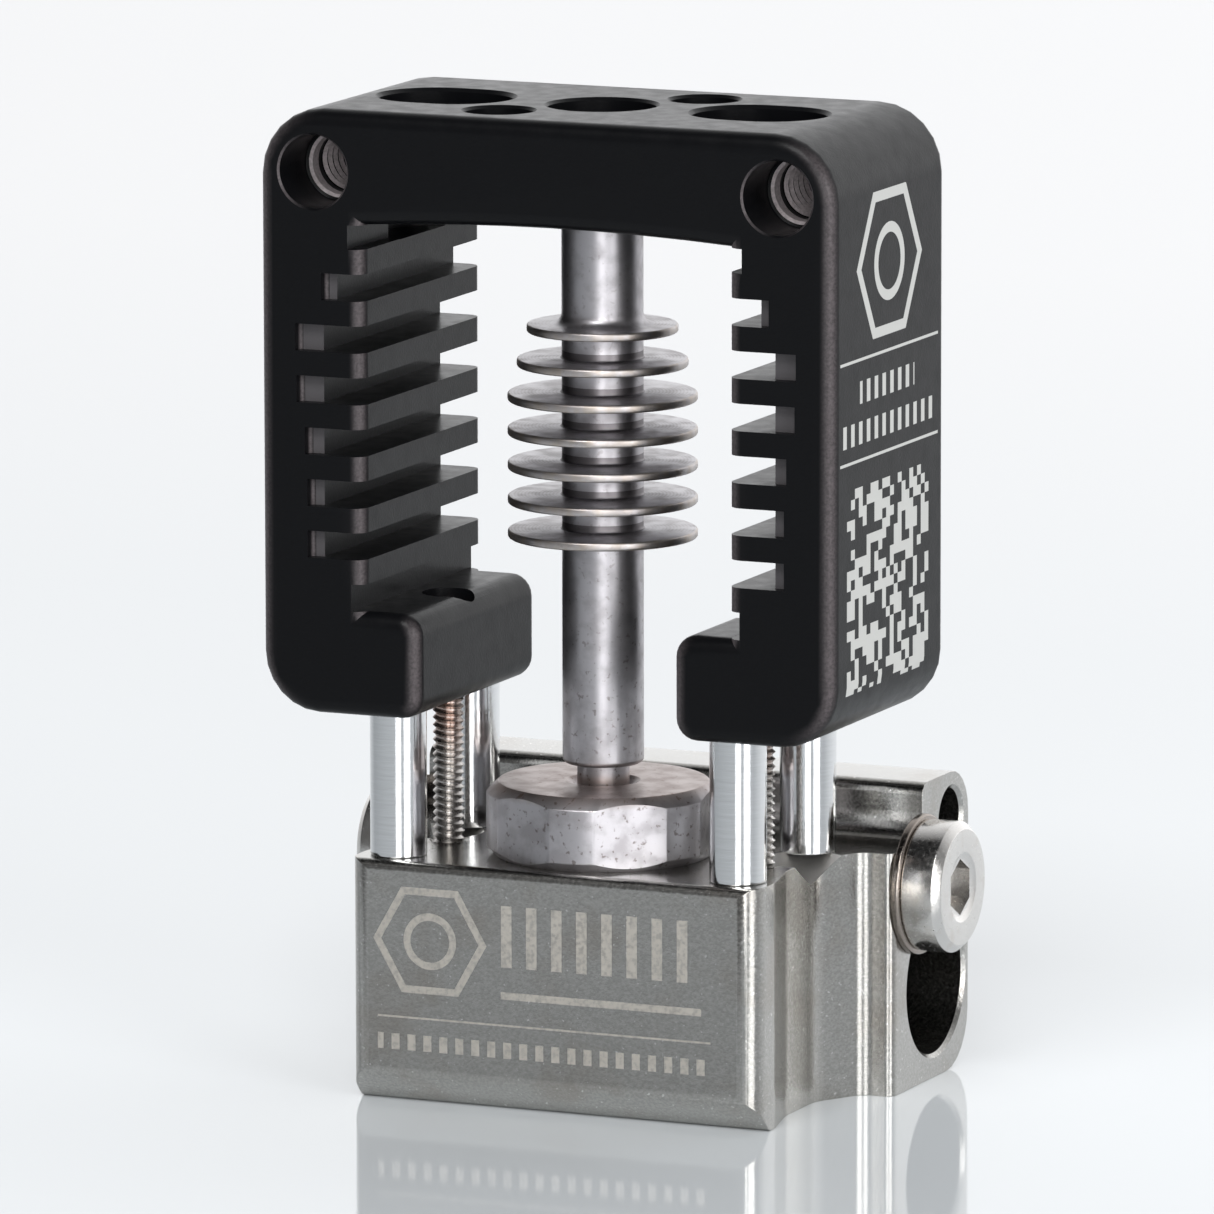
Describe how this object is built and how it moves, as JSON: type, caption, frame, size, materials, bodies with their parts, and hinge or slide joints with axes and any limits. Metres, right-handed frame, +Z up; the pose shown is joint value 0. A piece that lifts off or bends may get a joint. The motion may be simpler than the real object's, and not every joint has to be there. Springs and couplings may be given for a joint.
{
  "type": "printer hotend assembly",
  "caption": "Slotted heat-sink frame holding a finned heat break, with a plated hot block hung below it on thin tubes and long screws.",
  "frame": {"origin": "centre of the footprint, on the surface the block rests on; the heat break's axis is 3.1 mm in front of it", "axes": "+Z up along the heat break from the nozzle end to the filament inlet, -Y towards the fan face at the front, X across the frame"},
  "size_m": [0.0258, 0.0178, 0.0402],
  "materials": {
    "black_anodised": "black anodised, satin, with bright laser marks",
    "heat_break_steel": "fine-turned grey alloy, matte, with a faint violet heat tint",
    "polished_steel": "polished thin-wall stainless tube",
    "nickel_plate": "nickel plate, polished over a fine satin grain",
    "plated_steel": "bright plated steel, slightly warm",
    "dark_steel": "rolled-thread steel with a brown heat tint"
  },
  "bodies": {
    "root": {"heat_sink_frame": "black_anodised", "cold_sleeve": "heat_break_steel", "heat_break_tube": "heat_break_steel", "heat_break_base": "heat_break_steel", "hot_block": "nickel_plate", "standoff_tube_front_left": "polished_steel", "standoff_tube_back_left": "polished_steel", "standoff_tube_front_right": "polished_steel", "standoff_tube_back_right": "polished_steel"},
    "clamp_washer_left": {"clamp_washer_left": "plated_steel"},
    "clamp_screw_left": {"clamp_screw_left": "plated_steel"},
    "clamp_washer_right": {"clamp_washer_right": "plated_steel"},
    "clamp_screw_right": {"clamp_screw_right": "plated_steel"},
    "long_screw_left": {"long_screw_left": "dark_steel"},
    "long_screw_right": {"long_screw_right": "dark_steel"},
    "sleeve_set_screw": {"sleeve_set_screw": "dark_steel"}
  },
  "joints": [
    {"name": "clamp_screw_left_travel", "type": "slide", "parent": "root", "child": "clamp_washer_left", "axis": [-1, 0, 0], "range_m": [0, 0.005]},
    {"name": "clamp_screw_left_turn", "type": "hinge", "parent": "clamp_washer_left", "child": "clamp_screw_left", "pos_m": [-0.0109, 0.0035, 0.0083], "axis": [-1, 0, 0], "range_deg": [0, 3650]},
    {"name": "clamp_screw_right_travel", "type": "slide", "parent": "root", "child": "clamp_washer_right", "axis": [1, 0, 0], "range_m": [0, 0.005]},
    {"name": "clamp_screw_right_turn", "type": "hinge", "parent": "clamp_washer_right", "child": "clamp_screw_right", "pos_m": [0.0109, 0.0035, 0.0083], "axis": [1, 0, 0], "range_deg": [0, 3650]},
    {"name": "long_screw_left_travel", "type": "slide", "parent": "root", "child": "long_screw_left", "axis": [0, 0, 1], "range_m": [0, 0.0055]},
    {"name": "long_screw_right_travel", "type": "slide", "parent": "root", "child": "long_screw_right", "axis": [0, 0, 1], "range_m": [0, 0.0055]},
    {"name": "set_screw_travel", "type": "slide", "parent": "root", "child": "sleeve_set_screw", "axis": [0, 1, 0], "range_m": [0, 0.0042]}
  ],
  "couplings": [
    {"joint": "clamp_screw_left_turn", "follows": "clamp_screw_left_travel", "rad_per_m": 12566},
    {"joint": "clamp_screw_right_turn", "follows": "clamp_screw_right_travel", "rad_per_m": 12566}
  ]
}
